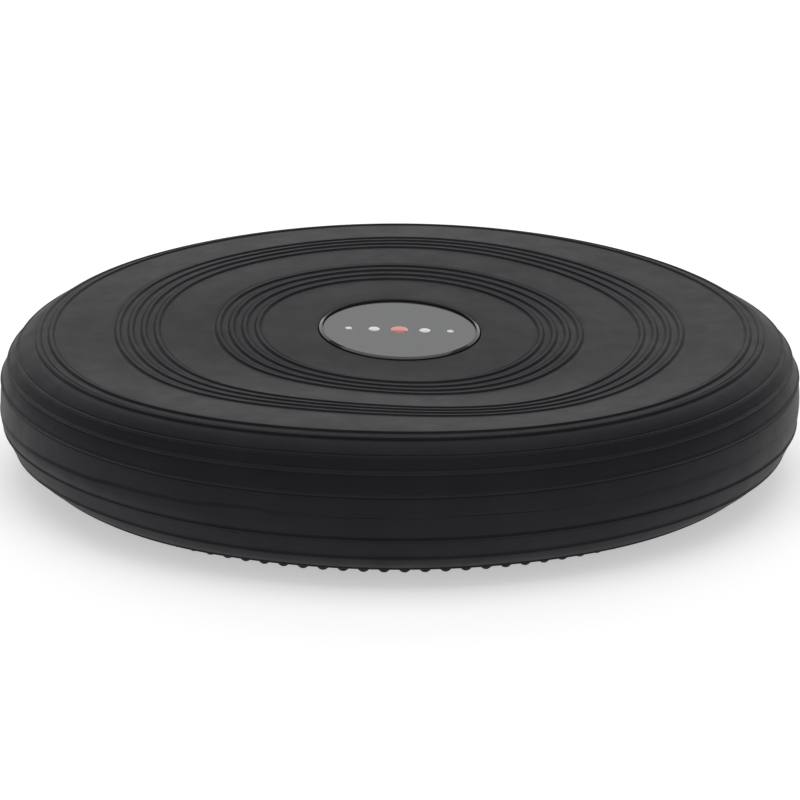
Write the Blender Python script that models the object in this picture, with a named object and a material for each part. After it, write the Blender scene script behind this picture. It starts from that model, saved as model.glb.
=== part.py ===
"""Inflatable balance disc with a ribbed top, a round badge, massage nubs underneath and an air valve.

Metres, +Z up. The origin is on the floor, under the middle of the disc. The bladder is two moulded
halves that meet in the parting plane, half way up the sidewall.
"""

import math

import bmesh
import bpy
from mathutils import Matrix

# Driving dimensions
DISC_RADIUS = 0.1650  # sidewall at the parting plane, without its ribs
HALF_HEIGHT = 0.0285  # parting plane to the shoulder of either face, without ribs
NUB_HEIGHT = 0.0035
PARTING_HEIGHT = HALF_HEIGHT + NUB_HEIGHT  # floor to the parting plane
SHOULDER_RADIUS = 0.140  # where the flat face turns into the sidewall
SHOULDER_POWER = 2.3  # 2 would be an ellipse; more is squarer
LOWER_SHOULDER_POWER = 2.15
FACE_HEIGHT = 0.0281  # parting plane to the flat membrane of the top face
WALL = 0.0032
GAP = 0.0003  # between touching pieces
TURN_STEPS = 48

# Raised ribs
RIB_HEIGHT = 0.0006
RIB_HALF_WIDTH = 0.0011
RIB_PITCH = 0.0054
RIBS_IN_GROUP = 4
INNER_GROUP_RADIUS = 0.0586
OUTER_GROUP_RADIUS = 0.1002
RIM_RIB_RADII = (0.144, 0.1495)
LOWER_RIM_RIB_RADII = (0.1495,)
SIDE_RIB_HEIGHTS = (0.0215, 0.0165, 0.0085)  # above the parting plane
LOWER_RIB_HEIGHTS = (0.0195, 0.0105)  # below the parting plane

# Massage nubs
NUB_RING_RADIUS = 0.1375
NUB_RING_PITCH = 0.0155
NUB_RINGS = 9
NUB_SPACING = 0.0083  # along the outermost ring
INNER_NUB_SPACING = 0.0120
NUB_WIDTH = 0.0056
NUB_TIP_SHARE = 0.45

# Badge
RECESS_RADIUS = 0.0336
RECESS_DEPTH = 0.0031
RECESS_BACKING = 0.0020  # extra wall under the recess
BADGE_RADIUS = 0.0333
BADGE_FACE_RADIUS = 0.0316
BADGE_RIM_HEIGHT = 0.0009  # above the membrane
BADGE_TRAY_DEPTH = 0.0007
BADGE_FACE_THICKNESS = 0.0004
ADHESIVE_RADIUS = 0.0300
ADHESIVE_THICKNESS = 0.0005

# Valve, on a flat boss at the back of the lower half
VALVE_DROP = 0.0100  # below the parting plane
BOSS_RADIUS = 0.0085
BOSS_FACE = 0.1634  # distance of the boss's flat face from the disc's axis
BOSS_DEPTH = 0.0092
SPOT_FACE_RADIUS = 0.0072
SPOT_FACE = 0.1632  # bottom of the shallow seat cut in the boss's face
COLLAR_RADIUS = 0.0044
COLLAR_BORE_RADIUS = 0.0026
COLLAR_INNER_END = 0.1440
COLLAR_FLANGE_RADIUS = 0.0075
COLLAR_FLANGE_THICKNESS = 0.0015
SEAL_LENGTH = 0.0060
NEEDLE_HOLE_RADIUS = 0.0005
PLUG_HEAD_RADIUS = 0.0060
PLUG_HEAD_THICKNESS = 0.0014
PLUG_LENGTH = 0.0085
VALVE_STEPS = 24
CUT_MARGIN = 0.0100  # a cutter runs this far past what it cuts

# Base colour and roughness of each piece
LOOKS = {
    "upper_shell": ((0.030, 0.030, 0.032), 0.55),
    "lower_shell": ((0.030, 0.030, 0.032), 0.60),
    "badge_plate": ((0.012, 0.012, 0.013), 0.12),
    "badge_face": ((0.060, 0.060, 0.064), 0.18),
    "badge_adhesive": ((0.750, 0.750, 0.720), 0.85),
    "valve_body": ((0.022, 0.022, 0.022), 0.65),
    "valve_seal": ((0.120, 0.120, 0.120), 0.70),
    "valve_plug": ((0.018, 0.018, 0.018), 0.60),
}


def clear_scene():
    for item in list(bpy.data.objects):
        bpy.data.objects.remove(item, do_unlink=True)


def principled(name, color, roughness):
    material = bpy.data.materials.new(name)
    material.use_nodes = True
    shader = material.node_tree.nodes["Principled BSDF"]
    shader.inputs["Base Color"].default_value = (*color, 1.0)
    shader.inputs["Roughness"].default_value = roughness
    return material


def add_object(name, bm, height=0.0):
    """Makes the named piece from the mesh, with its own material, and lifts it to its height."""
    bmesh.ops.recalc_face_normals(bm, faces=bm.faces)
    mesh = bpy.data.meshes.new(name)
    bm.to_mesh(mesh)
    bm.free()
    mesh.shade_smooth()
    mesh.set_sharp_from_angle(angle=math.radians(30))
    mesh.materials.append(principled(name, *LOOKS[name]))
    item = bpy.data.objects.new(name, mesh)
    item.location = (0.0, 0.0, height)
    bpy.context.collection.objects.link(item)
    return item


def shoulder_height(radius, power=SHOULDER_POWER):
    """Height above the parting plane of the rounded shoulder, a superellipse, at this radius."""
    share = (radius - SHOULDER_RADIUS) / (DISC_RADIUS - SHOULDER_RADIUS)
    return HALF_HEIGHT * (1.0 - share**power) ** (1.0 / power)


def shoulder_radius(height, power=SHOULDER_POWER):
    """Radius of the same shoulder at this height above the parting plane."""
    share = (height / HALF_HEIGHT) ** power
    reach = DISC_RADIUS - SHOULDER_RADIUS
    return SHOULDER_RADIUS + reach * (1.0 - share) ** (1.0 / power)


def face_ribs(first_radius):
    """Profile points of a group of ribs on the flat face, from the axis outwards."""
    points = []
    for index in range(RIBS_IN_GROUP):
        radius = first_radius + index * RIB_PITCH
        points.append((radius - RIB_HALF_WIDTH, FACE_HEIGHT))
        points.append((radius, FACE_HEIGHT + RIB_HEIGHT))
        points.append((radius + RIB_HALF_WIDTH, FACE_HEIGHT))
    return points


def rim_ribs(radii, power=SHOULDER_POWER):
    """Profile points of the ribs where the face turns down into the sidewall."""
    points = []
    for radius in radii:
        inner = radius - RIB_HALF_WIDTH
        outer = radius + RIB_HALF_WIDTH
        points.append((inner, shoulder_height(inner, power)))
        points.append((radius, shoulder_height(radius, power) + RIB_HEIGHT))
        points.append((outer, shoulder_height(outer, power)))
    return points


def side_ribs(heights, power=SHOULDER_POWER):
    """Profile points of the sidewall's ribs, from the shoulder down to the parting plane."""
    points = []
    for height in heights:
        upper = height + RIB_HALF_WIDTH
        lower = height - RIB_HALF_WIDTH
        points.append((shoulder_radius(upper, power), upper))
        points.append((shoulder_radius(height, power) + RIB_HEIGHT, height))
        points.append((shoulder_radius(lower, power), lower))
    return points


def inner_wall(face_height, clearance):
    """Profile points of the inside of a half, from the parting plane back to near the axis."""
    reach = DISC_RADIUS - SHOULDER_RADIUS - WALL
    ceiling = face_height - WALL
    points = []
    for degrees in (0, 20, 40, 60, 90):
        angle = math.radians(degrees)
        radius = SHOULDER_RADIUS + reach * math.cos(angle)
        points.append((radius, clearance + (ceiling - clearance) * math.sin(angle)))
    return points


def turned(profile, steps=TURN_STEPS, bored=False):
    """A body turned about Z from (radius, height) points that start and end on the axis, or a bored one."""
    bm = bmesh.new()
    verts = [bm.verts.new((radius, 0.0, height)) for radius, height in profile]
    pairs = list(zip(verts, verts[1:]))
    if bored:
        pairs.append((verts[-1], verts[0]))
    edges = [bm.edges.new(pair) for pair in pairs]
    bmesh.ops.spin(
        bm,
        geom=verts + edges,
        cent=(0.0, 0.0, 0.0),
        axis=(0.0, 0.0, 1.0),
        angle=math.tau,
        steps=steps,
    )
    bmesh.ops.remove_doubles(bm, verts=bm.verts, dist=1e-6)
    return bm


def upper_shell():
    recess_floor = FACE_HEIGHT - RECESS_DEPTH
    outside = [
        (0.0, recess_floor),
        (RECESS_RADIUS, recess_floor),
        (RECESS_RADIUS, FACE_HEIGHT),
    ]
    outside += face_ribs(INNER_GROUP_RADIUS)
    outside += face_ribs(OUTER_GROUP_RADIUS)
    outside += [(SHOULDER_RADIUS, shoulder_height(SHOULDER_RADIUS))]
    outside += rim_ribs(RIM_RIB_RADII)
    outside += side_ribs(SIDE_RIB_HEIGHTS)
    outside += [(DISC_RADIUS, GAP / 2)]
    inside = inner_wall(FACE_HEIGHT, GAP / 2)
    backing = RECESS_RADIUS + RECESS_BACKING
    inside += [
        (backing + RECESS_BACKING, FACE_HEIGHT - WALL),
        (backing, FACE_HEIGHT - WALL - RECESS_BACKING),
        (0.0, FACE_HEIGHT - WALL - RECESS_BACKING),
    ]
    add_object("upper_shell", turned(outside + inside), PARTING_HEIGHT)


def nub_rings():
    """(ring radius, number of nubs, half a pitch of stagger or none) from the middle outwards."""
    rings = []
    for index in range(NUB_RINGS):
        radius = NUB_RING_RADIUS - index * NUB_RING_PITCH
        spacing = NUB_SPACING if index == 0 else INNER_NUB_SPACING
        rings.append((radius, round(math.tau * radius / spacing), 0.5 * (index % 2)))
    return rings[::-1]


def ring_of_corners(bm, radius, count, stagger, share):
    """A ring of vertices at the corners of its nubs; each nub takes `share` of its pitch."""
    verts = []
    pitch = math.tau / count
    for index in range(count):
        for side in (-0.5, 0.5):
            angle = pitch * (index + stagger + side * share)
            spot = (radius * math.cos(angle), radius * math.sin(angle), -HALF_HEIGHT)
            verts.append(bm.verts.new(spot))
    return verts


def polar_angle(vert):
    return math.atan2(vert.co.y, vert.co.x) % math.tau


def stitch(bm, inside, outside):
    """Fills the flat gap between two rings of vertices that have different counts."""
    inside = sorted(inside, key=polar_angle)
    outside = sorted(outside, key=polar_angle)
    i = 0
    j = 0
    while i < len(inside) or j < len(outside):
        a = inside[i % len(inside)]
        b = outside[j % len(outside)]
        next_a = polar_angle(inside[i]) if i < len(inside) else math.inf
        next_b = polar_angle(outside[j]) if j < len(outside) else math.inf
        if next_a <= next_b:
            bm.faces.new((inside[i - 1], a, outside[j - 1]))
            i += 1
        else:
            bm.faces.new((outside[j - 1], b, inside[i - 1]))
            j += 1


def raise_nubs(bm, faces):
    """Draws each face down into a nub with a smaller flat tip."""
    tips = bmesh.ops.extrude_discrete_faces(bm, faces=faces)["faces"]
    for tip in tips:
        middle = tip.calc_center_median()
        for vert in tip.verts:
            vert.co = middle.lerp(vert.co, NUB_TIP_SHARE)
            vert.co.z -= NUB_HEIGHT


def nub_field(bm, border):
    """The flat bottom membrane with its rings of nubs, out to the given ring of vertices."""
    half = NUB_WIDTH / 2
    corners = [(-half, -half), (half, -half), (half, half), (-half, half)]
    previous = [bm.verts.new((x, y, -HALF_HEIGHT)) for x, y in corners]
    nubs = [bm.faces.new(previous)]
    for radius, count, stagger in nub_rings():
        share = NUB_WIDTH / (math.tau * radius / count)
        inside = ring_of_corners(bm, radius - half, count, stagger, share)
        outside = ring_of_corners(bm, radius + half, count, stagger, share)
        stitch(bm, previous, inside)
        for index in range(len(inside)):
            after = (index + 1) % len(inside)
            quad = (inside[index], outside[index], outside[after], inside[after])
            face = bm.faces.new(quad)
            if index % 2 == 0:
                nubs.append(face)
        previous = outside
    stitch(bm, previous, border)
    bmesh.ops.recalc_face_normals(bm, faces=bm.faces)
    raise_nubs(bm, nubs)


def valve_place():
    """Turns a valve part's own +Z into the disc's +Y and sets it at the valve's height."""
    height = PARTING_HEIGHT - VALVE_DROP
    return Matrix.Translation((0.0, 0.0, height)) @ Matrix.Rotation(-math.pi / 2, 4, "X")


def turned_on_valve_axis(profile, bored=False):
    """A turned body whose (radius, distance from the disc's axis) points lie about the valve's axis."""
    bm = turned(profile, VALVE_STEPS, bored)
    bmesh.ops.transform(bm, matrix=valve_place(), verts=bm.verts)
    return bm


def shape_with_drum(item, operation, radius, near, far):
    """Adds a drum on the valve's axis to the piece, or cuts it away; the drum stays as a hidden guide."""
    bm = turned_on_valve_axis([(0.0, near), (radius, near), (radius, far), (0.0, far)])
    bmesh.ops.recalc_face_normals(bm, faces=bm.faces)
    mesh = bpy.data.meshes.new("valve_drum")
    bm.to_mesh(mesh)
    bm.free()
    drum = bpy.data.objects.new("valve_drum", mesh)
    drum.hide_render = True
    drum.display_type = "WIRE"
    bpy.context.collection.objects.link(drum)
    modifier = item.modifiers.new("valve_drum", "BOOLEAN")
    modifier.operation = operation
    modifier.solver = "EXACT"
    modifier.object = drum


def lower_shell():
    outside = [(DISC_RADIUS, GAP / 2)]
    outside += side_ribs(LOWER_RIB_HEIGHTS, LOWER_SHOULDER_POWER)[::-1]
    outside += rim_ribs(LOWER_RIM_RIB_RADII, LOWER_SHOULDER_POWER)[::-1]
    inside = inner_wall(HALF_HEIGHT, GAP / 2)[::-1]
    profile = [(0.0, HALF_HEIGHT - WALL)] + inside + outside
    bm = turned([(radius, -height) for radius, height in profile])
    nub_field(bm, [vert for vert in bm.verts if vert.is_boundary])
    item = add_object("lower_shell", bm, PARTING_HEIGHT)
    boss_back = BOSS_FACE - BOSS_DEPTH
    shape_with_drum(item, "UNION", BOSS_RADIUS, boss_back, BOSS_FACE)
    shape_with_drum(item, "DIFFERENCE", SPOT_FACE_RADIUS, SPOT_FACE, SPOT_FACE + CUT_MARGIN)
    shape_with_drum(item, "DIFFERENCE", COLLAR_RADIUS + GAP, boss_back - GAP, SPOT_FACE + GAP)


def badge():
    """Adhesive pad, plate and printed face, stacked in the recess of the upper shell."""
    recess_floor = FACE_HEIGHT - RECESS_DEPTH
    adhesive_top = recess_floor + GAP + ADHESIVE_THICKNESS
    adhesive = [
        (0.0, recess_floor + GAP),
        (ADHESIVE_RADIUS, recess_floor + GAP),
        (ADHESIVE_RADIUS, adhesive_top),
        (0.0, adhesive_top),
    ]
    add_object("badge_adhesive", turned(adhesive), PARTING_HEIGHT)

    tray_floor = FACE_HEIGHT - BADGE_TRAY_DEPTH
    tray_radius = BADGE_FACE_RADIUS + GAP
    rim_top = FACE_HEIGHT + BADGE_RIM_HEIGHT
    plate = [
        (0.0, adhesive_top + GAP),
        (BADGE_RADIUS, adhesive_top + GAP),
        (BADGE_RADIUS, rim_top - GAP),
        ((BADGE_RADIUS + tray_radius) / 2, rim_top),
        (tray_radius, rim_top - GAP),
        (tray_radius, tray_floor),
        (0.0, tray_floor),
    ]
    add_object("badge_plate", turned(plate), PARTING_HEIGHT)

    face_top = tray_floor + GAP + BADGE_FACE_THICKNESS
    face = [
        (0.0, tray_floor + GAP),
        (BADGE_FACE_RADIUS, tray_floor + GAP),
        (BADGE_FACE_RADIUS, face_top),
        (0.0, face_top),
    ]
    add_object("badge_face", turned(face), PARTING_HEIGHT)


def valve():
    """Collar, self-sealing bung and stopper, on one axis that runs out of the back of the disc."""
    flange_outer = BOSS_FACE - BOSS_DEPTH - GAP
    flange_inner = flange_outer - COLLAR_FLANGE_THICKNESS
    collar = [
        (COLLAR_BORE_RADIUS, COLLAR_INNER_END),
        (COLLAR_RADIUS, COLLAR_INNER_END),
        (COLLAR_RADIUS, flange_inner),
        (COLLAR_FLANGE_RADIUS, flange_inner),
        (COLLAR_FLANGE_RADIUS, flange_outer),
        (COLLAR_RADIUS, flange_outer),
        (COLLAR_RADIUS, SPOT_FACE),
        (COLLAR_BORE_RADIUS, SPOT_FACE),
    ]
    add_object("valve_body", turned_on_valve_axis(collar, bored=True))

    fit_radius = COLLAR_BORE_RADIUS - GAP
    seal_end = COLLAR_INNER_END + SEAL_LENGTH
    seal = [
        (NEEDLE_HOLE_RADIUS, COLLAR_INNER_END),
        (fit_radius, COLLAR_INNER_END),
        (fit_radius, seal_end),
        (NEEDLE_HOLE_RADIUS, seal_end),
    ]
    add_object("valve_seal", turned_on_valve_axis(seal, bored=True))

    head_inner = SPOT_FACE + GAP
    head_outer = head_inner + PLUG_HEAD_THICKNESS
    plug = [
        (0.0, head_inner - PLUG_LENGTH),
        (fit_radius, head_inner - PLUG_LENGTH),
        (fit_radius, head_inner),
        (PLUG_HEAD_RADIUS, head_inner),
        (PLUG_HEAD_RADIUS, head_outer),
        (0.0, head_outer),
    ]
    add_object("valve_plug", turned_on_valve_axis(plug))


def build():
    clear_scene()
    upper_shell()
    lower_shell()
    badge()
    valve()


build()
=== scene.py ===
import math

import bmesh
import bpy
import numpy as np
from mathutils import Matrix, Vector


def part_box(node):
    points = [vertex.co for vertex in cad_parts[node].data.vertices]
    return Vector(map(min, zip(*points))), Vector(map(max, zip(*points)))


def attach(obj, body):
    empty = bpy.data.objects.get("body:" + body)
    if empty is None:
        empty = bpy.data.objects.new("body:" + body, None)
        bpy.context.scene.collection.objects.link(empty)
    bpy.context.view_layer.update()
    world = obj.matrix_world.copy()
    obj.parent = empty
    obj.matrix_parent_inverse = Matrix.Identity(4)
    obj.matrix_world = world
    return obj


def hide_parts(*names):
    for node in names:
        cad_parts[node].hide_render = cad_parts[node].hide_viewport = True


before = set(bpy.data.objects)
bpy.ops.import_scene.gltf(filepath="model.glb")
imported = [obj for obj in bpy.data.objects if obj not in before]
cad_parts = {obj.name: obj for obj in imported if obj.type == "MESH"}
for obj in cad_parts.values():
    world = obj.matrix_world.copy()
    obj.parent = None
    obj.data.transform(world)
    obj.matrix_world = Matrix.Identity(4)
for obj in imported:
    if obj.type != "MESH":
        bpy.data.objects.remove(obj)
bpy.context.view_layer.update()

# ---------------------------------------------------------------------------------------------------
# Upper half of the bladder. One moulding of soft black vinyl (plasticised PVC) with a wall of about
# 3 mm. Two groups of four ribs and a pair round the rim are cut into the mould, and so are the three
# ribs of the sidewall. Air pressure holds the skin out, a little unevenly, as on any filled cushion.
# ---------------------------------------------------------------------------------------------------
mm = 0.001
weld_gap = 0.02 * mm  # the halves are shut tight
gap = 0.3 * mm  # between separate pieces
turn = 2 * math.pi

lower_low, lower_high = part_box("lower_shell")
upper_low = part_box("upper_shell")[0]
disc_radius = lower_high.x
parting_height = (lower_high.z + upper_low.z) / 2
nub_height = 3.5 * mm
half_height = parting_height - lower_low.z - nub_height

face_edge = 120 * mm  # radius where the face begins to rise or fall to the sidewall's height
shoulder_start = 140 * mm  # radius where a face turns into the sidewall
upper_power = 2.3  # of the superellipse in section: 2 is an ellipse, more is squarer
face_height = 28.1 * mm  # parting plane to the flat of the top
wall = 3.2 * mm
segments = 288  # round the disc
weld_edge = 0.07 * mm  # rounding of the edge that meets the weld

rib_height = 0.6 * mm
rib_base = 1.8 * mm
rib_crest = 0.8 * mm
rib_pitch = 5.4 * mm
crease_width = 0.6 * mm  # of the shallow crease at both feet of a rib
crease_depth = 0.3 * mm
side_crease_depth = 0.17 * mm
side_rib_height = 0.6 * mm
side_rib_base = 1.4 * mm
side_rib_crest = 0.3 * mm
inner_group = 58.6 * mm  # radius of a group's first rib
outer_group = 100.2 * mm
rim_pair = 144.0 * mm
side_ribs_up = (21.5 * mm, 16.5 * mm, 8.5 * mm)  # above the parting plane

recess_radius = 33.6 * mm
recess_depth = 3.1 * mm
recess_fillet = 0.3 * mm  # round the recess floor
recess_lip = 0.4 * mm  # depth of the rounding at its mouth
recess_backing = 2.0 * mm  # extra width and depth of the wall behind it


def smooth_step(low, high, value):
    """0 below low, 1 above high, smooth between; takes numbers or arrays."""
    share = np.clip((value - low) / (high - low), 0.0, 1.0)
    return share * share * (3.0 - 2.0 * share)


def skin_line(first_radius, flat_height, power):
    """Close points along the outside in section, from the flat face round to the parting plane."""
    point_pitch = 0.1 * mm
    shoulder_points = 900
    flat_radius = np.arange(first_radius, shoulder_start, point_pitch)
    rise = (half_height - flat_height) * smooth_step(face_edge, shoulder_start, flat_radius)
    flat = np.column_stack([flat_radius, flat_height + rise])
    angle = np.radians(np.linspace(90, 0, shoulder_points))
    reach = disc_radius - shoulder_start
    round_radius = shoulder_start + reach * np.cos(angle).clip(0) ** (2 / power)
    round_height = half_height * np.sin(angle) ** (2 / power)
    return np.vstack([flat, np.column_stack([round_radius, round_height])])


def distance_along(line):
    """Distance of each point from the axis, measured along the line."""
    steps = np.hypot(*np.diff(line, axis=0).T)
    return line[0, 0] + np.concatenate([[0.0], np.cumsum(steps)])


def ring_stations(line, ribs):
    """Places along the line for the mesh's rings: close together over the ribs, wide apart elsewhere."""
    along = distance_along(line)
    fine, coarse = 0.19 * mm, 2.4 * mm
    at_rib = 0.1 * mm  # nearer than this, the rings are close together
    rib_zone = rib_base / 2 + crease_width
    stations = [along[0]]
    while stations[-1] < along[-1] - fine:
        here = stations[-1]
        ahead = [rib - rib_zone - here for rib in ribs if rib + rib_zone > here]
        to_rib = min(ahead) if ahead else along[-1] - here
        step = fine if to_rib < at_rib else min(coarse, to_rib)
        stations.append(min(here + step, along[-1]))
    radius = np.interp(stations, along, line[:, 0])
    height = np.interp(stations, along, line[:, 1])
    return np.array(stations), radius, height


def where_on(line, radius=None, height=None):
    """Distance along the line at a radius of the face or at a height of the sidewall."""
    along = distance_along(line)
    if radius is not None:
        return float(np.interp(radius, line[:, 0], along))
    return float(np.interp(-height, -line[:, 1], along))


def inside_line(flat_height, middle):
    """Section of the inside wall, from the weld back to the axis."""
    reach = disc_radius - shoulder_start - wall
    ceiling = flat_height - wall
    quarter_points = 10
    angle = np.radians(np.linspace(0, 90, quarter_points))
    radius = shoulder_start + reach * np.cos(angle)
    height = weld_gap / 2 + (ceiling - weld_gap / 2) * np.sin(angle)
    return np.vstack([np.column_stack([radius, height]), middle])


def revolved(name, section, along=None, count=segments, flip=False):
    """A closed body turned about Z from a section that starts and ends on the axis."""
    section = np.array(section, float)
    if flip:
        section[:, 1] *= -1
    rings = len(section) - 2
    angle = np.arange(count) * turn / count
    body = section[1:-1]
    x = np.outer(body[:, 0], np.cos(angle))
    y = np.outer(body[:, 0], np.sin(angle))
    z = np.repeat(body[:, 1], count).reshape(rings, count)
    points = np.stack([x, y, z], -1).reshape(-1, 3)
    first, last = len(points), len(points) + 1
    points = np.vstack([points, [0, 0, section[0, 1]], [0, 0, section[-1, 1]]])
    faces = []
    for ring in range(rings - 1):
        a, b = ring * count, (ring + 1) * count
        faces += [(a + i, b + i, b + (i + 1) % count, a + (i + 1) % count) for i in range(count)]
    end = (rings - 1) * count
    for i in range(count):
        j = (i + 1) % count
        faces.append((first, i, j))
        faces.append((last, end + j, end + i))
    mesh = bpy.data.meshes.new(name)
    mesh.from_pydata(points.tolist(), [], faces)
    if along is not None:
        layer = mesh.attributes.new("along", "FLOAT", "POINT")
        per_ring = np.repeat(np.array(along)[1:-1], count)
        layer.data.foreach_set("value", np.concatenate([per_ring, [-1.0, -1.0]]))
    outward(mesh)
    piece = bpy.data.objects.new(name, mesh)
    bpy.context.scene.collection.objects.link(piece)
    return piece


def outward(mesh):
    """Turns the faces of a closed mesh to the outside."""
    work = bmesh.new()
    work.from_mesh(mesh)
    bmesh.ops.recalc_face_normals(work, faces=work.faces)
    work.to_mesh(mesh)
    work.free()


def add_node(tree, kind, links=(), values=(), **settings):
    """Adds a node; links are (input, source socket), values are (input, constant)."""
    node = tree.nodes.new(kind)
    for key, value in settings.items():
        setattr(node, key, value)
    for key, value in values:
        node.inputs[key].default_value = value
    for key, source in links:
        tree.links.new(source, node.inputs[key])
    return node


def new_tree(name, inputs):
    """A geometry tree with a geometry input, the named inputs as (name, socket type), and its output."""
    tree = bpy.data.node_groups.new(name, "GeometryNodeTree")
    tree.interface.new_socket("Geometry", in_out="INPUT", socket_type="NodeSocketGeometry")
    for label, socket_type in inputs:
        tree.interface.new_socket(label, in_out="INPUT", socket_type=socket_type)
    tree.interface.new_socket("Geometry", in_out="OUTPUT", socket_type="NodeSocketGeometry")
    return tree


def use_tree(piece, tree, inputs):
    """Puts the tree on the piece, with its inputs set by their identifiers."""
    modifier = piece.modifiers.new(tree.name, "NODES")
    modifier.node_group = tree
    for item in tree.interface.items_tree:
        if item.item_type == "SOCKET" and item.in_out == "INPUT" and item.name in inputs:
            modifier[item.identifier] = inputs[item.name]


def settle_mesh(piece, sharp=50):
    """Turns the piece's modifiers into plain mesh and smooths its shading."""
    bpy.context.view_layer.update()
    graph = bpy.context.evaluated_depsgraph_get()
    mesh = bpy.data.meshes.new_from_object(piece.evaluated_get(graph))
    piece.modifiers.clear()
    piece.data = mesh
    mesh.shade_smooth()
    mesh.set_sharp_from_angle(angle=math.radians(sharp))
    return piece


def rib_tree():
    """Raises a group of evenly spaced ribs along the skin's normal, by distance along the section."""
    tree = new_tree(
        "moulded_ribs",
        [
            ("First rib", "NodeSocketFloat"),
            ("Pitch", "NodeSocketFloat"),
            ("Ribs", "NodeSocketInt"),
            ("Height", "NodeSocketFloat"),
            ("Base width", "NodeSocketFloat"),
            ("Crest width", "NodeSocketFloat"),
            ("Crease width", "NodeSocketFloat"),
            ("Crease depth", "NodeSocketFloat"),
            ("Material", "NodeSocketMaterial"),
        ],
    )
    given = add_node(tree, "NodeGroupInput").outputs
    along = add_node(
        tree,
        "GeometryNodeInputNamedAttribute",
        values=[("Name", "along")],
        data_type="FLOAT",
    )
    past_first = add_node(
        tree,
        "ShaderNodeMath",
        links=[(0, along.outputs["Attribute"]), (1, given["First rib"])],
        operation="SUBTRACT",
    ).outputs[0]
    # the number of the nearest rib, from 0 for the first to the last one
    pitches = add_node(
        tree,
        "ShaderNodeMath",
        links=[(0, past_first), (1, given["Pitch"])],
        operation="DIVIDE",
    ).outputs[0]
    rounded = add_node(tree, "ShaderNodeMath", links=[(0, pitches)], operation="ROUND").outputs[0]
    from_zero = add_node(
        tree,
        "ShaderNodeMath",
        links=[(0, rounded)],
        values=[(1, 0.0)],
        operation="MAXIMUM",
    ).outputs[0]
    last = add_node(
        tree,
        "ShaderNodeMath",
        links=[(0, given["Ribs"])],
        values=[(1, 1.0)],
        operation="SUBTRACT",
    ).outputs[0]
    nearest = add_node(
        tree,
        "ShaderNodeMath",
        links=[(0, from_zero), (1, last)],
        operation="MINIMUM",
    ).outputs[0]
    nearest_place = add_node(
        tree,
        "ShaderNodeMath",
        links=[(0, nearest), (1, given["Pitch"])],
        operation="MULTIPLY",
    ).outputs[0]
    from_nearest = add_node(
        tree,
        "ShaderNodeMath",
        links=[(0, past_first), (1, nearest_place)],
        operation="SUBTRACT",
    ).outputs[0]
    distance = add_node(
        tree,
        "ShaderNodeMath",
        links=[(0, from_nearest)],
        operation="ABSOLUTE",
    ).outputs[0]
    half_base, half_crest, half_crease = (
        add_node(
            tree,
            "ShaderNodeMath",
            links=[(0, given[width])],
            values=[(1, 0.5)],
            operation="MULTIPLY",
        ).outputs[0]
        for width in ("Base width", "Crest width", "Crease width")
    )
    rise = add_node(
        tree,
        "ShaderNodeMapRange",
        links=[
            ("Value", distance),
            ("From Min", half_base),
            ("From Max", half_crest),
            ("To Max", given["Height"]),
        ],
        values=[("To Min", 0.0)],
        interpolation_type="SMOOTHSTEP",
    )
    # the crease is deepest half its width outside the rib's foot
    crease_middle = add_node(
        tree,
        "ShaderNodeMath",
        links=[(0, half_base), (1, half_crease)],
        operation="ADD",
    ).outputs[0]
    past_crease = add_node(
        tree,
        "ShaderNodeMath",
        links=[(0, distance), (1, crease_middle)],
        operation="SUBTRACT",
    ).outputs[0]
    from_crease = add_node(
        tree,
        "ShaderNodeMath",
        links=[(0, past_crease)],
        operation="ABSOLUTE",
    ).outputs[0]
    fall = add_node(
        tree,
        "ShaderNodeMapRange",
        links=[("Value", from_crease), ("From Min", half_crease), ("To Max", given["Crease depth"])],
        values=[("From Max", 0.0), ("To Min", 0.0)],
        interpolation_type="SMOOTHSTEP",
    )
    relief = add_node(
        tree,
        "ShaderNodeMath",
        links=[(0, rise.outputs["Result"]), (1, fall.outputs["Result"])],
        operation="SUBTRACT",
    ).outputs[0]
    normal = add_node(tree, "GeometryNodeInputNormal")
    offset = add_node(
        tree,
        "ShaderNodeVectorMath",
        links=[(0, normal.outputs[0]), ("Scale", relief)],
        operation="SCALE",
    )
    raised = add_node(
        tree,
        "GeometryNodeSetPosition",
        links=[("Geometry", given["Geometry"]), ("Offset", offset.outputs["Vector"])],
    )
    real = add_node(tree, "GeometryNodeRealizeInstances", links=[("Geometry", raised.outputs[0])])
    finished = add_node(
        tree,
        "GeometryNodeSetMaterial",
        links=[("Geometry", real.outputs[0]), ("Material", given["Material"])],
    )
    add_node(tree, "NodeGroupOutput", links=[("Geometry", finished.outputs[0])])
    return tree


def linear(hex_color):
    """An sRGB hex colour such as '#1a1a1b' as linear red, green, blue and alpha."""
    parts = [int(hex_color[i : i + 2], 16) / 255 for i in (1, 3, 5)]
    return [p / 12.92 if p <= 0.04045 else ((p + 0.055) / 1.055) ** 2.4 for p in parts] + [1.0]


def new_material(name, color, roughness, ior=1.5):
    """A material of that name with its Principled shader set, and its tree."""
    material = bpy.data.materials.new(name)
    material.use_nodes = True
    shader = material.node_tree.nodes["Principled BSDF"]
    shader.inputs["Base Color"].default_value = linear(color)
    shader.inputs["Roughness"].default_value = roughness
    shader.inputs["IOR"].default_value = ior
    return material, material.node_tree, shader


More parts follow.
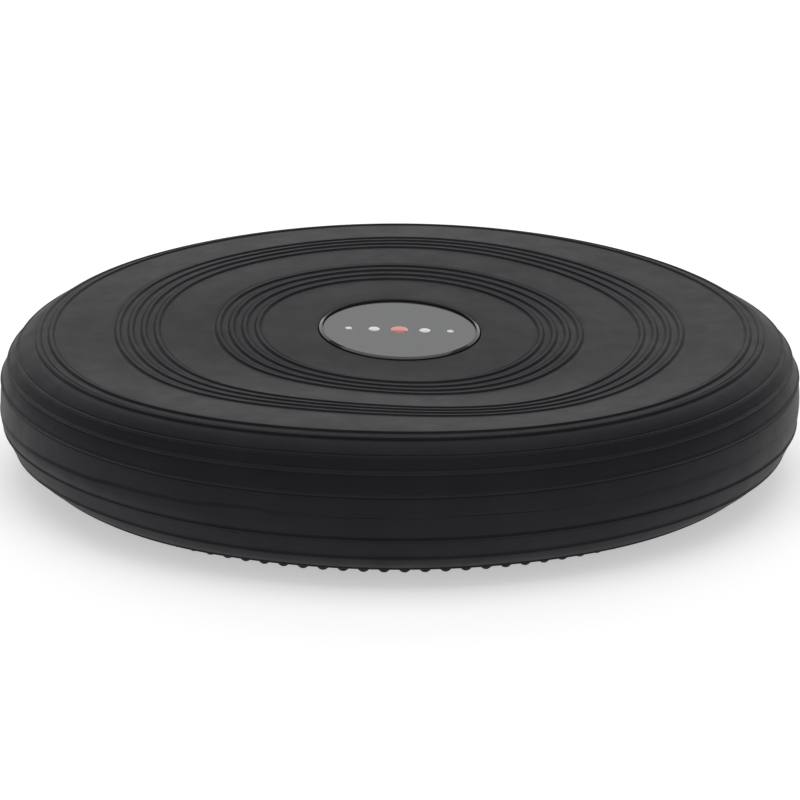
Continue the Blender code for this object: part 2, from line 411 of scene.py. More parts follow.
def moulded_vinyl(name, dark, light, sheen):
    """Soft PVC from a bead-blasted mould: near black and matt, with a fine grain and a waxy bloom.

    It gives the eye an even dark grey that pales only at a flat angle. The grain is drawn 0.5 mm
    coarse so that it shows; the real one is nearer 0.1 mm.
    """
    material, tree, shader = new_material(name, dark, 0.5)
    shader.inputs["Specular IOR Level"].default_value = 0.15
    shader.inputs["Sheen Weight"].default_value = sheen
    shader.inputs["Sheen Roughness"].default_value = 0.45
    place = add_node(tree, "ShaderNodeTexCoord").outputs["Object"]
    # (size, detail, roughness) of each pattern
    patterns = {
        "bloom": (28 * mm, 4, 0.6),
        "handling": (11 * mm, 5, 0.6),
        "unevenness": (7 * mm, 3, 0.5),
        "grain": (0.5 * mm, 2, 0.5),
    }
    drawn = {}
    for pattern, (size, detail, roughness) in patterns.items():
        drawn[pattern] = add_node(
            tree,
            "ShaderNodeTexNoise",
            links=[("Vector", place)],
            values=[("Scale", 1 / size), ("Detail", detail), ("Roughness", roughness)],
        ).outputs["Fac"]
    pale = add_node(
        tree,
        "ShaderNodeMapRange",
        links=[("Value", drawn["bloom"])],
        values=[("From Min", 0.35), ("From Max", 0.70)],
    )
    mottle = add_node(
        tree,
        "ShaderNodeMix",
        links=[("Factor", pale.outputs["Result"])],
        data_type="RGBA",
    )
    color_inputs = [s for s in mottle.inputs if s.type == "RGBA"]
    color_inputs[0].default_value = linear(dark)
    color_inputs[1].default_value = linear(light)
    color = next(s for s in mottle.outputs if s.type == "RGBA")
    tree.links.new(color, shader.inputs["Base Color"])
    handled = add_node(
        tree,
        "ShaderNodeMapRange",
        links=[("Value", drawn["handling"])],
        values=[("From Min", 0.3), ("From Max", 0.7), ("To Min", 0.48), ("To Max", 0.56)],
    )
    tree.links.new(handled.outputs["Result"], shader.inputs["Roughness"])
    grain = add_node(
        tree,
        "ShaderNodeBump",
        links=[("Height", drawn["grain"])],
        values=[("Strength", 0.25), ("Distance", 0.05 * mm)],
    )
    uneven = add_node(
        tree,
        "ShaderNodeBump",
        links=[("Height", drawn["unevenness"]), ("Normal", grain.outputs["Normal"])],
        values=[("Strength", 0.2), ("Distance", 0.15 * mm)],
    )
    tree.links.new(uneven.outputs["Normal"], shader.inputs["Normal"])
    return material


def bump_round(angle, middle, spread):
    """A smooth bump round the disc, 1 at its middle; middle and spread in degrees."""
    apart = (angle - math.radians(middle) + math.pi) % turn - math.pi
    return np.exp(-((apart / math.radians(spread)) ** 2))


def weld_wander(angle):
    """How far the weld strays up or down round the disc: it sags on the left, and jogs here and there."""
    jogs = [(-137, 0.3), (-118, 0.5), (-109, -0.6), (-100, -0.5), (-84, 0.4), (-60, -0.4)]
    jogs += [(-30, 0.4), (60, 0.5), (130, -0.4)]  # degrees and millimetres
    jog_spread, jog_edge = math.radians(7), math.radians(0.9)
    stray = -0.6 + 0.3 * np.sin(3 * angle + 0.7) - 3.2 * bump_round(angle, 188, 38)
    for place, step in jogs:
        apart = (angle - math.radians(place) + math.pi) % turn - math.pi
        stray = stray + step * np.exp(-((apart / jog_spread) ** 2)) * np.tanh(apart / jog_edge)
    return stray * mm


def weld_lip(angle):
    """How far the upper edge stands out over the lower one; below zero, the lower one stands out."""
    even_lip = 0.02
    # millimetres, middle and spread in degrees
    places = [(0.45, 212, 30), (-0.10, 264, 8), (0.16, 247, 5), (-0.16, 285, 6)]
    places += [(0.12, 318, 16), (0.10, 60, 30)]
    lip = even_lip + sum(step * bump_round(angle, middle, spread) for step, middle, spread in places)
    return lip * mm


def uneven_fill(points, up):
    """Moves the skin as uneven air pressure and the memory of its packing do.

    The middle sinks a little and leans to the front, the outer rings swell and wave, the rim is
    saddled, and the sidewall's radius and the weld wander slightly. The lower shoulder sags where
    the weight of the filled disc rolls it towards the floor.
    """
    x, y, z = points.T
    radius = np.hypot(x, y)
    angle = np.arctan2(y, x)
    height = np.abs(z)
    new = points.copy()
    badge_edge = 36 * mm  # nearer the axis than this, the skin is held flat by the badge
    if up:
        back_lean, left_lean = 0.083, 0.033  # rise for each unit of distance from the axis
        lean = back_lean * y - left_lean * x
        lean *= 1 - smooth_step(badge_edge, disc_radius, radius)
        swell = 0.8 * mm * np.exp(-(((radius - 108 * mm) / (24 * mm)) ** 2)) - 0.5 * mm
        swell += 0.25 * mm * (1 - smooth_step(badge_edge, 60 * mm, radius))
        saddle = 1.4 * mm * smooth_step(50 * mm, 130 * mm, radius)
        wave = mm * smooth_step(badge_edge, 105 * mm, radius)
        wave *= 1 - 0.6 * smooth_step(120 * mm, 150 * mm, radius)
        new_height = lean + swell
        new_height += saddle * np.cos(2 * (angle - math.radians(95)))
        new_height += 0.65 * wave * np.cos(3 * (angle - math.radians(16)))
        new_height += 0.75 * wave * np.cos(4 * (angle + math.radians(12)))
        new[:, 2] += new_height * smooth_step(0.2 * half_height, 0.9 * half_height, height)
    side = smooth_step(shoulder_start, 158 * mm, radius)
    bulge = (0.25 + 0.2 * np.sin(3 * angle + 1.1) + 0.12 * np.sin(8 * angle + 0.4)) * mm * side
    if not up:
        # the sidewall is drawn in a little at the front left and the front right
        tuck = 1.9 * bump_round(angle, 222, 26) + 0.9 * bump_round(angle, 314, 20)
        bulge -= tuck * mm * side * smooth_step(4 * mm, 14 * mm, height)
        sag = 0.5 * bump_round(angle, 227, 15) + 0.5 * bump_round(angle, 311, 15)
        shoulder = smooth_step(134 * mm, 142 * mm, radius) * smooth_step(20 * mm, 27 * mm, height)
        new[:, 2] -= sag * mm * shoulder
    lip_reach = 0.5 * mm  # above and below the weld
    lower_share = -0.6  # of the lip, taken by the lower edge
    lip = weld_lip(angle) * np.exp(-((height / lip_reach) ** 2)) * side
    bulge += lip * (1 if up else lower_share)
    new[:, 0] += bulge * np.cos(angle)
    new[:, 1] += bulge * np.sin(angle)
    wander_reach = 7.5 * mm if up else 9.5 * mm  # ends short of the nearest rib
    new[:, 2] += weld_wander(angle) * np.clip(1 - height / wander_reach, 0, 1) * side
    return new


def reshape(piece, change):
    """Moves every point of the piece's mesh by a function of all the points."""
    mesh = piece.data
    points = np.zeros(len(mesh.vertices) * 3)
    mesh.vertices.foreach_get("co", points)
    mesh.vertices.foreach_set("co", change(points.reshape(-1, 3)).ravel())
    mesh.update()


def half_of_bladder(name, line, flat_height, middle, inner_middle, ribs, flip=False):
    """One half: outside with fine rings where the ribs go, a rounded edge at the weld, inside wall."""
    weld = distance_along(line)[-1]
    stations, radius, height = ring_stations(line, [*ribs, weld])
    outside = np.column_stack([radius, height])
    keep = outside[:, 1] > weld_gap / 2 + weld_edge
    outside, stations = outside[keep], stations[keep]
    edge_points = 4
    angle = np.radians(np.linspace(0, 90, edge_points))
    edge_radius = disc_radius - weld_edge * (1 - np.cos(angle))
    edge_height = weld_gap / 2 + weld_edge * (1 - np.sin(angle))
    edge = np.column_stack([edge_radius, edge_height])
    inside = inside_line(flat_height, inner_middle)
    section = np.vstack([middle, outside, edge, inside])
    along = np.full(len(section), -1.0)
    along[len(middle) : len(middle) + len(outside)] = stations
    return revolved(name, section, along, flip=flip)


upper_line = skin_line(recess_radius + 0.5 * mm, face_height, upper_power)
first_rim = where_on(upper_line, radius=rim_pair)
side_places = [where_on(upper_line, height=h) for h in side_ribs_up]
upper_ribs = [first_rim, first_rim + rib_pitch, *side_places]
for first in (inner_group, outer_group):
    upper_ribs += [first + i * rib_pitch for i in range(4)]
recess_floor = face_height - recess_depth
backing = recess_radius + recess_backing
upper_half = half_of_bladder(
    "upper_half",
    upper_line,
    face_height,
    [
        (0, recess_floor),
        (20 * mm, recess_floor),
        (recess_radius - recess_fillet, recess_floor),
        (recess_radius, recess_floor + recess_fillet),
        (recess_radius, face_height - recess_lip),
        (recess_radius + 0.15 * mm, face_height - 0.1 * mm),
    ],
    [
        (100 * mm, face_height - wall),
        (60 * mm, face_height - wall),
        (backing + recess_backing, face_height - wall),
        (backing, face_height - wall - recess_backing),
        (0, face_height - wall - recess_backing),
    ],
    upper_ribs,
)
black_vinyl = moulded_vinyl("soft_moulded_vinyl_top", "#1a1a1f", "#1f1f24", 0.02)
ribs = rib_tree()
top_rib = (rib_height, rib_base, rib_crest, crease_depth)
side_rib = (side_rib_height, side_rib_base, side_rib_crest, side_crease_depth)
rib_groups = [(inner_group, 4, top_rib), (outer_group, 4, top_rib), (first_rim, 2, top_rib)]
rib_groups += [(place, 1, side_rib) for place in side_places]
for first, number, (height, base_width, crest_width, depth) in rib_groups:
    use_tree(
        upper_half,
        ribs,
        {
            "First rib": first,
            "Pitch": rib_pitch,
            "Ribs": number,
            "Height": height,
            "Base width": base_width,
            "Crest width": crest_width,
            "Crease width": crease_width,
            "Crease depth": depth,
            "Material": black_vinyl,
        },
    )
settle_mesh(upper_half)
reshape(upper_half, lambda points: uneven_fill(points, up=True) + [0, 0, parting_height])
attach(upper_half, "pad")
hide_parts("upper_shell")

# ---------------------------------------------------------------------------------------------------
# Lower half of the bladder, from the same vinyl, a little slacker in section. It has two ribs on the
# sidewall and one at the rim; its flat bottom carries rings of round massage nubs, which the disc lies
# on. At the back the moulding thickens to a round flat boss that the valve's collar is bonded into.
# ---------------------------------------------------------------------------------------------------
side_ribs_down = (19.5 * mm, 10.5 * mm)  # below the parting plane
lower_power = 2.15
lower_rim_rib = 149.5 * mm  # radius
nub_ring_radius = 138.8 * mm
nub_ring_pitch = 15.5 * mm
nub_rings = 9
outer_nub_spacing = 8.3 * mm
inner_nub_spacing = 12.0 * mm
nub_width = 6.3 * mm
nub_root = 1.0 * mm  # how deep a nub is rooted in the skin

valve_low, valve_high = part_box("valve_body")
valve_height = (valve_low.z + valve_high.z) / 2
spot_face = valve_high.y  # the collar's mouth is flush with the seat cut in the boss
boss_radius = 8.5 * mm
boss_depth = 9.2 * mm
boss_rounding = 0.6 * mm
spot_radius = 7.2 * mm  # of the seat
seat_depth = 0.2 * mm
collar_radius = 4.4 * mm
cut_over = 4 * mm  # how far the cutting bodies run past what they cut


def nub_tree():
    """Adds one ring of domed nubs, rooted in the skin, to the moulding."""
    tree = new_tree(
        "ring_of_nubs",
        [
            ("Ring radius", "NodeSocketFloat"),
            ("Nubs", "NodeSocketInt"),
            ("Turned by", "NodeSocketFloat"),
            ("Skin height", "NodeSocketFloat"),
            ("Nub height", "NodeSocketFloat"),
            ("Nub width", "NodeSocketFloat"),
            ("Root depth", "NodeSocketFloat"),
            ("Material", "NodeSocketMaterial"),
        ],
    )
    given = add_node(tree, "NodeGroupInput").outputs
    ring = add_node(
        tree,
        "GeometryNodeMeshCircle",
        links=[("Vertices", given["Nubs"]), ("Radius", given["Ring radius"])],
    )
    spot = add_node(tree, "ShaderNodeCombineXYZ", links=[("Z", given["Skin height"])])
    twist = add_node(tree, "ShaderNodeCombineXYZ", links=[("Z", given["Turned by"])])
    placed = add_node(
        tree,
        "GeometryNodeTransform",
        links=[
            ("Geometry", ring.outputs["Mesh"]),
            ("Translation", spot.outputs[0]),
            ("Rotation", twist.outputs[0]),
        ],
    )
    ball = add_node(
        tree,
        "GeometryNodeMeshUVSphere",
        values=[("Segments", 12), ("Rings", 8), ("Radius", 1.0)],
    )
    position = add_node(tree, "GeometryNodeInputPosition")
    part = add_node(tree, "ShaderNodeSeparateXYZ", links=[(0, position.outputs[0])])
    # the foot of the nub flares where it meets the skin
    flare = add_node(
        tree,
        "ShaderNodeMapRange",
        links=[("Value", part.outputs["Z"])],
        values=[("From Min", -0.35), ("From Max", 0.0), ("To Min", 0.5), ("To Max", 0.62)],
        interpolation_type="SMOOTHSTEP",
    )
    across = add_node(
        tree,
        "ShaderNodeMath",
        links=[(0, given["Nub width"]), (1, flare.outputs["Result"])],
        operation="MULTIPLY",
    )
    below = add_node(
        tree,
        "ShaderNodeMath",
        links=[(0, part.outputs["Z"])],
        values=[(1, 0.0)],
        operation="LESS_THAN",
    )
    tall = add_node(
        tree,
        "GeometryNodeSwitch",
        links=[
            ("Switch", below.outputs[0]),
            ("False", given["Root depth"]),
            ("True", given["Nub height"]),
        ],
        input_type="FLOAT",
    )
    size = add_node(
        tree,
        "ShaderNodeCombineXYZ",
        links=[
            ("X", across.outputs[0]),
            ("Y", across.outputs[0]),
            ("Z", tall.outputs[0]),
        ],
    )
    shaped = add_node(
        tree,
        "ShaderNodeVectorMath",
        links=[(0, position.outputs[0]), (1, size.outputs[0])],
        operation="MULTIPLY",
    )
    nub = add_node(
        tree,
        "GeometryNodeSetPosition",
        links=[("Geometry", ball.outputs["Mesh"]), ("Position", shaped.outputs["Vector"])],
    )
    copies = add_node(
        tree,
        "GeometryNodeInstanceOnPoints",
        links=[("Points", placed.outputs[0]), ("Instance", nub.outputs[0])],
    )
    joined = add_node(tree, "GeometryNodeJoinGeometry")
    tree.links.new(given["Geometry"], joined.inputs[0])
    tree.links.new(copies.outputs[0], joined.inputs[0])
    real = add_node(tree, "GeometryNodeRealizeInstances", links=[("Geometry", joined.outputs[0])])
    finished = add_node(
        tree,
        "GeometryNodeSetMaterial",
        links=[("Geometry", real.outputs[0]), ("Material", given["Material"])],
    )
    add_node(tree, "NodeGroupOutput", links=[("Geometry", finished.outputs[0])])
    return tree


def onto_valve_axis(piece):
    """Turns a body modelled about +Z so that it lies along +Y at the valve's height."""
    place = Matrix.Translation((0, 0, valve_height)) @ Matrix.Rotation(-math.pi / 2, 4, "X")
    piece.data.transform(place)
    return piece


def shape_with(piece, operation, section):
    """Adds a turned body on the valve's axis to the piece, or cuts it away."""
    tool = onto_valve_axis(revolved("valve_tool", section, count=64))
    modifier = piece.modifiers.new("valve_tool", "BOOLEAN")
    modifier.operation = operation
    modifier.solver = "EXACT"
    modifier.object = tool
    settle_mesh(piece, sharp=40)
    bpy.data.objects.remove(tool, do_unlink=True)


lower_line = skin_line(4 * mm, half_height, lower_power)
lower_rim = where_on(lower_line, radius=lower_rim_rib)
lower_places = [where_on(lower_line, height=h) for h in side_ribs_down]
lower_half = half_of_bladder(
    "lower_half",
    lower_line,
    half_height,
    [(0, half_height)],
    [(100 * mm, half_height - wall), (50 * mm, half_height - wall), (0, half_height - wall)],
    [lower_rim, *lower_places],
    flip=True,
)
nub_vinyl = moulded_vinyl("soft_moulded_vinyl_bottom", "#1a1a1f", "#1f1f24", 0.0)
for first in (lower_rim, *lower_places):
    use_tree(
        lower_half,
        ribs,
        {
            "First rib": first,
            "Pitch": rib_pitch,
            "Ribs": 1,
            "Height": side_rib_height,
            "Base width": side_rib_base,
            "Crest width": side_rib_crest,
            "Crease width": crease_width,
            "Crease depth": side_crease_depth,
            "Material": nub_vinyl,
        },
    )
settle_mesh(lower_half)
reshape(lower_half, lambda points: uneven_fill(points, up=False) + [0, 0, parting_height])
boss_face = spot_face + seat_depth
shape_with(
    lower_half,
    "UNION",
    [
        (0, boss_face - boss_depth),
        (boss_radius, boss_face - boss_depth),
        (boss_radius, boss_face - boss_rounding),
        (boss_radius - boss_rounding / 3, boss_face - boss_rounding / 3),
        (boss_radius - boss_rounding, boss_face),
        (0, boss_face),
    ],
)
shape_with(
    lower_half,
    "DIFFERENCE",
    [
        (0, spot_face),
        (spot_radius - 0.3 * mm, spot_face),
        (spot_radius, spot_face + 0.3 * mm),
        (spot_radius + cut_over, spot_face + 1.5 * cut_over),
        (0, spot_face + 1.5 * cut_over),
    ],
)
shape_with(
    lower_half,
    "DIFFERENCE",
    [
        (0, boss_face - boss_depth - cut_over),
        (collar_radius + gap, boss_face - boss_depth - cut_over),
        (collar_radius + gap, spot_face + cut_over / 2),
        (0, spot_face + cut_over / 2),
    ],
)
nubs = nub_tree()
for index in range(nub_rings):
    ring_radius = nub_ring_radius - index * nub_ring_pitch
    spacing = outer_nub_spacing if index == 0 else inner_nub_spacing
    number = round(turn * ring_radius / spacing)
    use_tree(
        lower_half,
        nubs,
        {
            "Ring radius": ring_radius,
            "Nubs": number,
            "Turned by": turn / number * 0.5 * (index % 2),
            "Skin height": nub_height,
            "Nub height": nub_height,
            "Nub width": nub_width,
            "Root depth": nub_root,
            "Material": nub_vinyl,
        },
    )
settle_mesh(lower_half, sharp=40)
lower_half.data.materials.clear()
lower_half.data.materials.append(nub_vinyl)
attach(lower_half, "pad")
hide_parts("lower_shell")

# ---------------------------------------------------------------------------------------------------
# Badge: a polished black plate with a thin raised rim, held in the top's recess by a pad of foam tape,
# with a glossy printed disc in its tray. The print is a plain row of dots. The whole badge leans with
# the skin that it is stuck to.
# ---------------------------------------------------------------------------------------------------


def lean_with_skin(points):
    """The badge follows the flat middle of the upper half."""
    return uneven_fill(points, up=True) + [0, 0, parting_height]


def badge_section(node, inset=0.15 * mm):
    """Radius, bottom, top and section of a disc with rounded edges that fills the node's box."""
    low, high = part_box(node)
    radius, bottom, top = high.x, low.z - parting_height, high.z - parting_height
    inset = min(inset, 0.45 * (top - bottom))  # a thin disc keeps a flat edge
    return radius, bottom, top, [
        (0, bottom),
        (radius - inset, bottom),
        (radius, bottom + inset),
        (radius, top - inset),
        (radius - inset, top),
        (radius - inset - 0.1 * mm, top),
        (0.9 * radius, top),
        (0, top),
    ]


def slight_wear(tree, shader, size, low, high):
    """Handling marks of that size: the roughness drifts between two values over the surface."""
    marks = add_node(
        tree,
        "ShaderNodeTexNoise",
        links=[("Vector", add_node(tree, "ShaderNodeTexCoord").outputs["Object"])],
        values=[("Scale", 1 / size), ("Detail", 4.0)],
    )
    drift = add_node(
        tree,
        "ShaderNodeMapRange",
        links=[("Value", marks.outputs["Fac"])],
        values=[("From Min", 0.3), ("From Max", 0.7), ("To Min", low), ("To Max", high)],
    )
    tree.links.new(drift.outputs["Result"], shader.inputs["Roughness"])


tape_section = badge_section("badge_adhesive")[-1]
foam_tape = revolved("badge_foam_tape", tape_section, count=96)
reshape(foam_tape, lean_with_skin)
# off-white acrylic foam, dull, with open cells 0.4 mm across at its cut edge
tape_material, tape_tree, tape_shader = new_material("acrylic_foam_tape", "#e4e2da", 0.9)
cells = add_node(
    tape_tree,
    "ShaderNodeTexVoronoi",
    links=[("Vector", add_node(tape_tree, "ShaderNodeTexCoord").outputs["Object"])],
    values=[("Scale", 1 / (0.4 * mm))],
)
tape_bump = add_node(
    tape_tree,
    "ShaderNodeBump",
    links=[("Height", cells.outputs["Distance"])],
    values=[("Strength", 0.3), ("Distance", 0.1 * mm)],
)
tape_tree.links.new(tape_bump.outputs["Normal"], tape_shader.inputs["Normal"])
foam_tape.data.materials.append(tape_material)
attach(settle_mesh(foam_tape), "pad")
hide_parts("badge_adhesive")

plate_radius, plate_bottom, plate_top = badge_section("badge_plate")[:3]
print_radius, print_bottom, print_top, print_section = badge_section("badge_face", 0.08 * mm)
tray_radius = print_radius + gap
tray_floor = print_bottom - gap
rim_fall = 0.55 * mm  # the rim is highest at its inner edge and slopes down outwards
crest = [
    (plate_radius, plate_top - rim_fall - 0.2 * mm),
    (plate_radius - 0.05 * mm, plate_top - rim_fall - 0.07 * mm),
    (plate_radius - 0.16 * mm, plate_top - rim_fall),
    (tray_radius + 0.28 * mm, plate_top - 0.05 * mm),
    (tray_radius + 0.16 * mm, plate_top),
    (tray_radius + 0.05 * mm, plate_top - 0.03 * mm),
    (tray_radius, plate_top - 0.12 * mm),
]
badge_plate = revolved(
    "badge_plate_polished",
    [(0, plate_bottom), (plate_radius - 0.2 * mm, plate_bottom), (plate_radius, plate_bottom + 0.2 * mm)]
    + crest
    + [(tray_radius, tray_floor), (20 * mm, tray_floor), (0, tray_floor)],
    count=192,
)
reshape(badge_plate, lean_with_skin)
# black ABS from a polished mould: mirror-like, so its rim is dark where it slopes away from the
# light and pale where it faces it
gloss_black, gloss_tree, gloss_shader = new_material("polished_black_abs", "#0b0b0c", 0.08, ior=1.53)
slight_wear(gloss_tree, gloss_shader, 6 * mm, 0.05, 0.14)
badge_plate.data.materials.append(gloss_black)
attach(settle_mesh(badge_plate, sharp=60), "pad")
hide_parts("badge_plate")

badge_print = revolved("badge_printed_disc", print_section, count=192)
reshape(badge_print, lean_with_skin)
# dark printed polyester under clear resin: a smooth sheet that mirrors the light behind it softly
film, film_tree, film_shader = new_material("glossy_printed_film", "#26292e", 0.16, ior=1.5)
slight_wear(film_tree, film_shader, 9 * mm, 0.13, 0.19)
film_shader.inputs["Specular IOR Level"].default_value = 0.42
film_shader.inputs["Coat Weight"].default_value = 0.2
film_shader.inputs["Coat Roughness"].default_value = 0.05
badge_print.data.materials.append(film)
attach(settle_mesh(badge_print), "pad")
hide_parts("badge_face")


def ink_dots(name, dots, color):
    """Round dots of screen ink, each (x, radius), in a row across the printed disc."""
    ink_height = 0.06 * mm
    lift = 0.01 * mm  # keeps the ink's underside off the film
    bodies = []
    for x, radius in dots:
        ink_top = print_top + ink_height
        section = [(0, print_top), (radius, print_top), (radius - 0.05 * mm, ink_top), (0, ink_top)]
        dot = revolved(name, section, count=48)
        dot.data.transform(Matrix.Translation((x, 0, lift)))
        bodies.append(dot)
    work = bmesh.new()
    for dot in bodies:
        work.from_mesh(dot.data)
        if dot is not bodies[0]:
            bpy.data.objects.remove(dot, do_unlink=True)
    work.to_mesh(bodies[0].data)
    work.free()
    row = bodies[0]
    row.name = name
    reshape(row, lean_with_skin)
    # opaque screen ink under the same clear gloss: flat, even colour with a soft shine over it
    material, ink_tree, ink_shader = new_material(name + "_screen_ink", color, 0.3)
    slight_wear(ink_tree, ink_shader, 2 * mm, 0.26, 0.36)
    ink_shader.inputs["Coat Weight"].default_value = 0.8
    ink_shader.inputs["Coat Roughness"].default_value = 0.08
    row.data.materials.append(material)
    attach(settle_mesh(row), "pad")


dot_pitch = 10.5 * mm
ink_dots("badge_middle_dot", [(0.0, 3.6 * mm)], "#e0685a")
side_dots = [(-dot_pitch, 2.3 * mm), (dot_pitch, 2.3 * mm)]
side_dots += [(-2 * dot_pitch, 1.4 * mm), (2 * dot_pitch, 1.4 * mm)]
ink_dots("badge_side_dots", side_dots, "#f2f2f2")

# ---------------------------------------------------------------------------------------------------
# Valve: a rubber collar with a flange bonded behind the boss, a self-sealing bung in its inner end that
# a pump's needle passes through, and a stopper whose round head is dished and lies in the seat of the
# boss. A bead round its shaft holds it in the collar. It pulls straight out, on its own body.
# ---------------------------------------------------------------------------------------------------


def valve_rubber(name, color, roughness):
    """Compression-moulded rubber: satin black, with a soft orange-peel 0.8 mm across."""
    material, tree, shader = new_material(name, color, roughness, ior=1.5)
    peel = add_node(
        tree,
        "ShaderNodeTexNoise",
        links=[("Vector", add_node(tree, "ShaderNodeTexCoord").outputs["Object"])],
        values=[("Scale", 1 / (0.8 * mm)), ("Detail", 2.0)],
    )
    bump = add_node(
        tree,
        "ShaderNodeBump",
        links=[("Height", peel.outputs["Fac"])],
        values=[("Strength", 0.2), ("Distance", 0.05 * mm)],
    )
    tree.links.new(bump.outputs["Normal"], shader.inputs["Normal"])
    return material


def bored(name, section, count=64):
    """A closed ring turned about Z from a closed section that keeps off the axis."""
    section = np.array(section, float)
    angle = np.arange(count) * turn / count
    points = [(r * math.cos(a), r * math.sin(a), z) for r, z in section for a in angle]
    faces = []
    for ring in range(len(section)):
        a, b = ring * count, (ring + 1) % len(section) * count
        faces += [(a + i, b + i, b + (i + 1) % count, a + (i + 1) % count) for i in range(count)]
    mesh = bpy.data.meshes.new(name)
    mesh.from_pydata(points, [], faces)
    outward(mesh)
    piece = bpy.data.objects.new(name, mesh)
    bpy.context.scene.collection.objects.link(piece)
    return piece


collar_bore = 2.6 * mm
flange_radius = (valve_high.x - valve_low.x) / 2
flange_thickness = 1.5 * mm
flange_outer = boss_face - boss_depth - gap
flange_inner = flange_outer - flange_thickness
collar = onto_valve_axis(
    bored(
        "valve_collar",
        [
            (collar_bore, valve_low.y),
            (collar_radius - 0.4 * mm, valve_low.y),
            (collar_radius, valve_low.y + 0.4 * mm),
            (collar_radius, flange_inner - 0.6 * mm),
            (collar_radius + 0.6 * mm, flange_inner),
            (flange_radius - 0.5 * mm, flange_inner),
            (flange_radius, flange_inner + 0.5 * mm),
            (flange_radius, flange_outer - 0.3 * mm),
            (flange_radius - 0.3 * mm, flange_outer),
            (collar_radius, flange_outer),
            (collar_radius, spot_face - 0.3 * mm),
            (collar_radius - 0.3 * mm, spot_face),
            (collar_bore + 0.5 * mm, spot_face),
            (collar_bore, spot_face - 0.5 * mm),
        ],
    )
)
collar.data.materials.append(valve_rubber("moulded_collar_rubber", "#151515", 0.5))
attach(settle_mesh(collar), "pad")
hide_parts("valve_body")

seal_low, seal_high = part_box("valve_seal")
seal_radius = (seal_high.x - seal_low.x) / 2
needle_hole = 0.5 * mm  # radius
needle_funnel = 1.2 * mm
bung = onto_valve_axis(
    bored(
        "valve_self_sealing_bung",
        [
            (needle_hole, seal_low.y),
            (seal_radius - 0.4 * mm, seal_low.y),
            (seal_radius, seal_low.y + 0.4 * mm),
            (seal_radius, seal_high.y - 0.4 * mm),
            (seal_radius - 0.4 * mm, seal_high.y),
            (needle_funnel, seal_high.y),
            (needle_hole, seal_high.y - (needle_funnel - needle_hole)),
        ],
        count=48,
    )
)
bung.data.materials.append(valve_rubber("soft_butyl_rubber", "#3a3a3a", 0.65))
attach(settle_mesh(bung), "pad")
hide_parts("valve_seal")

plug_low, plug_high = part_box("valve_plug")
head_radius = (plug_high.x - plug_low.x) / 2
head_thickness = 1.4 * mm
head_outer = plug_high.y
head_inner = head_outer - head_thickness
shaft_radius = collar_bore - gap
bead_height = 0.15 * mm
bead_place = head_inner - 2.0 * mm
stopper = onto_valve_axis(
    revolved(
        "valve_stopper",
        [
            (0, plug_low.y),
            (shaft_radius - 0.6 * mm, plug_low.y),
            (shaft_radius, plug_low.y + 1.0 * mm),
            (shaft_radius, bead_place - 0.4 * mm),
            (shaft_radius + bead_height, bead_place),
            (shaft_radius, bead_place + 0.4 * mm),
            (shaft_radius, head_inner),
            (head_radius - 0.2 * mm, head_inner),
            (head_radius, head_inner + 0.3 * mm),
            (head_radius, head_outer - 0.6 * mm),
            (head_radius - 0.2 * mm, head_outer - 0.2 * mm),
            (head_radius - 0.6 * mm, head_outer),
            (head_radius - 1.4 * mm, head_outer - 0.1 * mm),
            (head_radius - 1.8 * mm, head_outer - 0.5 * mm),
            (0, head_outer - 0.6 * mm),
        ],
        count=96,
    )
)
stopper.data.materials.append(valve_rubber("moulded_stopper_rubber", "#121212", 0.42))
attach(settle_mesh(stopper), "plug")
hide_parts("valve_plug")

# ---------------------------------------------------------------------------------------------------
# Studio: a plain pale floor, a broad soft light behind and above that grazes the top, a second one
# overhead, and a camera with a long lens, low in front of the disc.
# ---------------------------------------------------------------------------------------------------


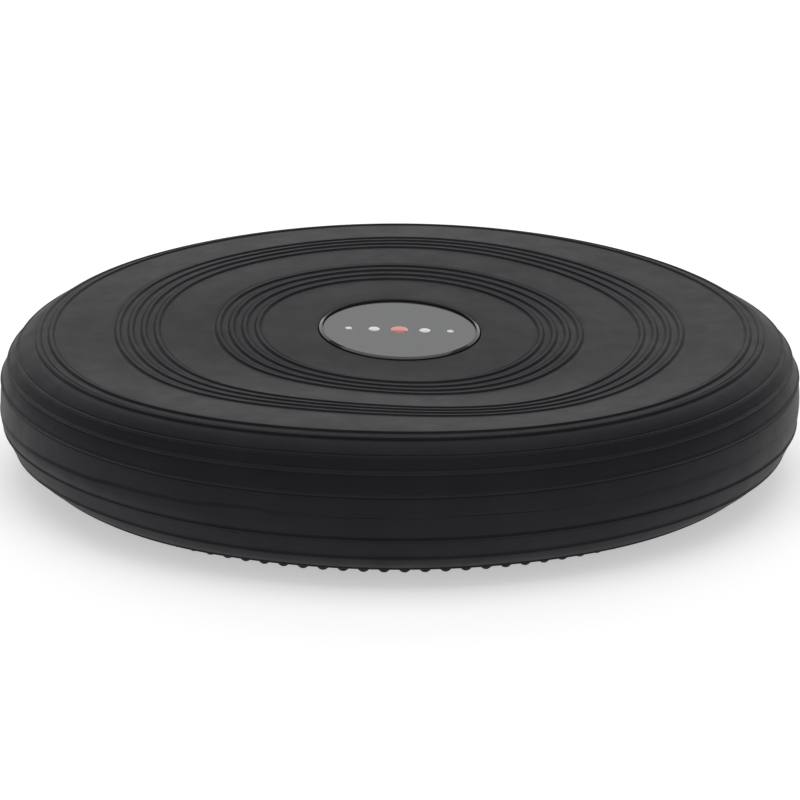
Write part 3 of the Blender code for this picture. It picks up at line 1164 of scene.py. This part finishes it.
def floor():
    """A flat plate that the disc stands on, far wider than the view."""
    reach = 6.0
    mesh = bpy.data.meshes.new("studio_floor")
    corners = [(-reach, -reach, 0), (reach, -reach, 0), (reach, reach, 0), (-reach, reach, 0)]
    mesh.from_pydata(corners, [], [(0, 1, 2, 3)])
    piece = bpy.data.objects.new("studio_floor", mesh)
    bpy.context.scene.collection.objects.link(piece)
    # white acrylic with a weak light under it: pale and even, with only a soft shadow
    material, tree, shader = new_material("backlit_opal_acrylic", "#eeeeee", 0.9)
    shader.inputs["Emission Color"].default_value = linear("#ffffff")
    shader.inputs["Emission Strength"].default_value = 0.48
    # the floor is clear from below, so that the underside can be looked at
    clear = add_node(tree, "ShaderNodeBsdfTransparent")
    side = add_node(tree, "ShaderNodeNewGeometry")
    mix = add_node(tree, "ShaderNodeMixShader", links=[(0, side.outputs["Backfacing"])])
    tree.links.new(shader.outputs[0], mix.inputs[1])
    tree.links.new(clear.outputs[0], mix.inputs[2])
    tree.links.new(mix.outputs[0], tree.nodes["Material Output"].inputs["Surface"])
    mesh.materials.append(material)


def soft_light(name, place, aim, width, height, power):
    """A rectangular soft light at a place, turned to the aim; sizes in metres, power in watts."""
    lamp = bpy.data.lights.new(name, "AREA")
    lamp.shape = "RECTANGLE"
    lamp.size = width
    lamp.size_y = height
    lamp.energy = power
    lamp_object = bpy.data.objects.new(name, lamp)
    lamp_object.location = place
    direction = Vector(aim) - Vector(place)
    lamp_object.rotation_euler = direction.to_track_quat("-Z", "Y").to_euler()
    bpy.context.scene.collection.objects.link(lamp_object)


floor()
soft_light("back_softbox", (0.0, 3.0, 1.45), (0.0, 0.0, 0.0), 4.6, 2.5, 29.5)
soft_light("overhead_softbox", (0.0, 0.2, 3.0), (0.0, 0.0, 0.0), 3.0, 3.0, 34)

world = bpy.data.worlds.new("studio_air")
world.use_nodes = True
world.node_tree.nodes["Background"].inputs["Color"].default_value = linear("#ffffff")
world.node_tree.nodes["Background"].inputs["Strength"].default_value = 0.32
bpy.context.scene.world = world
bpy.context.scene.view_settings.view_transform = "Standard"

view_elevation = math.radians(17.4)
view_distance = 5.0
view_width = 0.3312  # across the view at the disc's axis
aim_right = 0.2 * mm
aim_height = parting_height - 2.6 * mm
camera = bpy.data.cameras.new("camera")
camera.sensor_width = 36.0
camera.lens = camera.sensor_width * view_distance / view_width
camera.clip_end = 100.0
camera_object = bpy.data.objects.new("camera", camera)
back = Vector((0.0, -math.cos(view_elevation), math.sin(view_elevation)))
camera_object.location = Vector((aim_right, 0.0, aim_height)) + back * view_distance
camera_object.rotation_euler = (-back).to_track_quat("-Z", "Y").to_euler()
bpy.context.scene.collection.objects.link(camera_object)
bpy.context.scene.camera = camera_object
